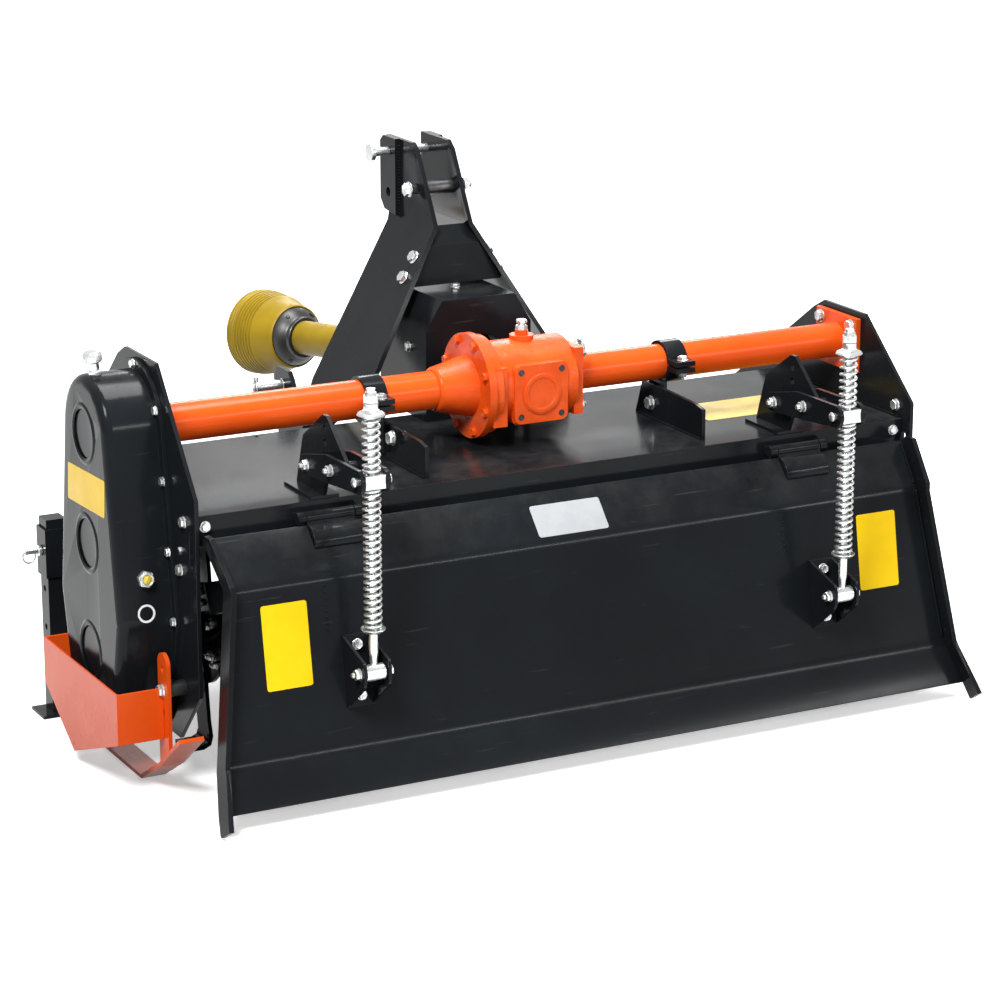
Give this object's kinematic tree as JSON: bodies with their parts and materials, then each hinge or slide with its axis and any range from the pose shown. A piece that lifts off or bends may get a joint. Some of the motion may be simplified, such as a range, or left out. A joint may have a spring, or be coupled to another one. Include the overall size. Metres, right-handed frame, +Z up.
{
  "type": "rotary tiller",
  "caption": "Three-point rotary tiller with side gear drive: tined rotor under a hood, sprung tailgate, mast and hitch pins, central gearbox with guarded driveline, skids and parking stand.",
  "frame": {"origin": "on the ground below the middle of the bounding box", "axes": "+X to the right seen from behind, along the rotor; +Y forward, to the tractor; +Z up"},
  "size_m": [1.7548, 1.4452, 1.082],
  "materials": {
    "charcoal_paint": "semi gloss",
    "orange_paint": "gloss",
    "zinc": "zinc plated",
    "steel": "oiled",
    "guard_yellow": "satin",
    "collar_black": "matt"
  },
  "bodies": {
    "frame": {"deck": "charcoal_paint", "front_bar": "charcoal_paint", "side_plate_left": "charcoal_paint", "side_plate_right": "charcoal_paint", "hitch_bracket_left": "charcoal_paint", "hitch_bracket_right": "charcoal_paint", "hitch_pin_left": "zinc", "hitch_pin_right": "zinc", "mast_plate_left": "charcoal_paint", "mast_plate_right": "charcoal_paint", "mast_brace": "charcoal_paint", "mast_spacer": "steel", "top_link_pin": "zinc", "pto_shield": "charcoal_paint", "gearbox": "orange_paint", "beam_left": "orange_paint", "beam_right": "orange_paint", "beam_clamp_left": "charcoal_paint", "beam_clamp_right": "charcoal_paint", "deck_bracket_left": "charcoal_paint", "deck_bracket_right": "charcoal_paint", "spring_bracket_left": "charcoal_paint", "spring_bracket_right": "charcoal_paint", "spring_arms_left": "charcoal_paint", "spring_arms_right": "charcoal_paint", "gear_case": "charcoal_paint", "breather": "zinc", "oil_sight_plug": "zinc", "case_guard": "orange_paint", "skid_left": "orange_paint", "skid_right": "orange_paint", "rotor_bearing": "charcoal_paint", "stand_sleeve": "charcoal_paint", "stand_pin": "zinc", "hinge_knuckles": "charcoal_paint", "input_yoke": "steel", "drive_shaft": "steel", "rear_cone": "guard_yellow", "rear_collar": "collar_black", "guard_tube": "guard_yellow", "front_collar": "collar_black", "front_cone": "guard_yellow", "front_yoke": "steel"},
    "rotor": {"rotor": "charcoal_paint"},
    "tailgate": {"tailgate_sheet": "charcoal_paint", "tailgate_bar_left": "charcoal_paint", "tailgate_bar_right": "charcoal_paint", "tailgate_knuckles": "charcoal_paint", "rod_bracket_left": "charcoal_paint", "rod_bracket_right": "charcoal_paint"},
    "trunnion_left": {"trunnion_left": "zinc", "upper_spring_left": "zinc"},
    "rod_left": {"spring_rod_left": "zinc", "lower_spring_left": "zinc"},
    "trunnion_right": {"trunnion_right": "zinc", "upper_spring_right": "zinc"},
    "rod_right": {"spring_rod_right": "zinc", "lower_spring_right": "zinc"},
    "stand": {"stand_leg": "charcoal_paint"}
  },
  "joints": [
    {"name": "rotor_spin", "type": "hinge", "parent": "frame", "child": "rotor", "pos_m": [0.0475, -0.23708, 0.24], "axis": [1, 0, 0], "continuous": true},
    {"name": "tailgate_hinge", "type": "hinge", "parent": "frame", "child": "tailgate", "pos_m": [0.0475, -0.49008, 0.522], "axis": [-1, 0, 0], "range_deg": [0, 30]},
    {"name": "trunnion_tilt_left", "type": "hinge", "parent": "frame", "child": "trunnion_left", "pos_m": [-0.4645, -0.67308, 0.633], "axis": [-1, 0, 0], "range_deg": [0, 24]},
    {"name": "rod_slide_left", "type": "slide", "parent": "trunnion_left", "child": "rod_left", "axis": [0, 0, 1], "range_m": [0, 0.115], "deforming": ["lower_spring_left"]},
    {"name": "trunnion_tilt_right", "type": "hinge", "parent": "frame", "child": "trunnion_right", "pos_m": [0.5595, -0.67308, 0.633], "axis": [-1, 0, 0], "range_deg": [0, 24]},
    {"name": "rod_slide_right", "type": "slide", "parent": "trunnion_right", "child": "rod_right", "axis": [0, 0, 1], "range_m": [0, 0.115], "deforming": ["lower_spring_right"]},
    {"name": "stand_slide", "type": "slide", "parent": "frame", "child": "stand", "axis": [0, 0, 1], "range_m": [0, 0.2]}
  ],
  "couplings": [
    {"joint": "trunnion_tilt_left", "follows": "tailgate_hinge", "ratio": 0.7551},
    {"joint": "rod_slide_left", "follows": "tailgate_hinge", "m_per_rad": 0.19737},
    {"joint": "trunnion_tilt_right", "follows": "tailgate_hinge", "ratio": 0.7551},
    {"joint": "rod_slide_right", "follows": "tailgate_hinge", "m_per_rad": 0.19737}
  ]
}
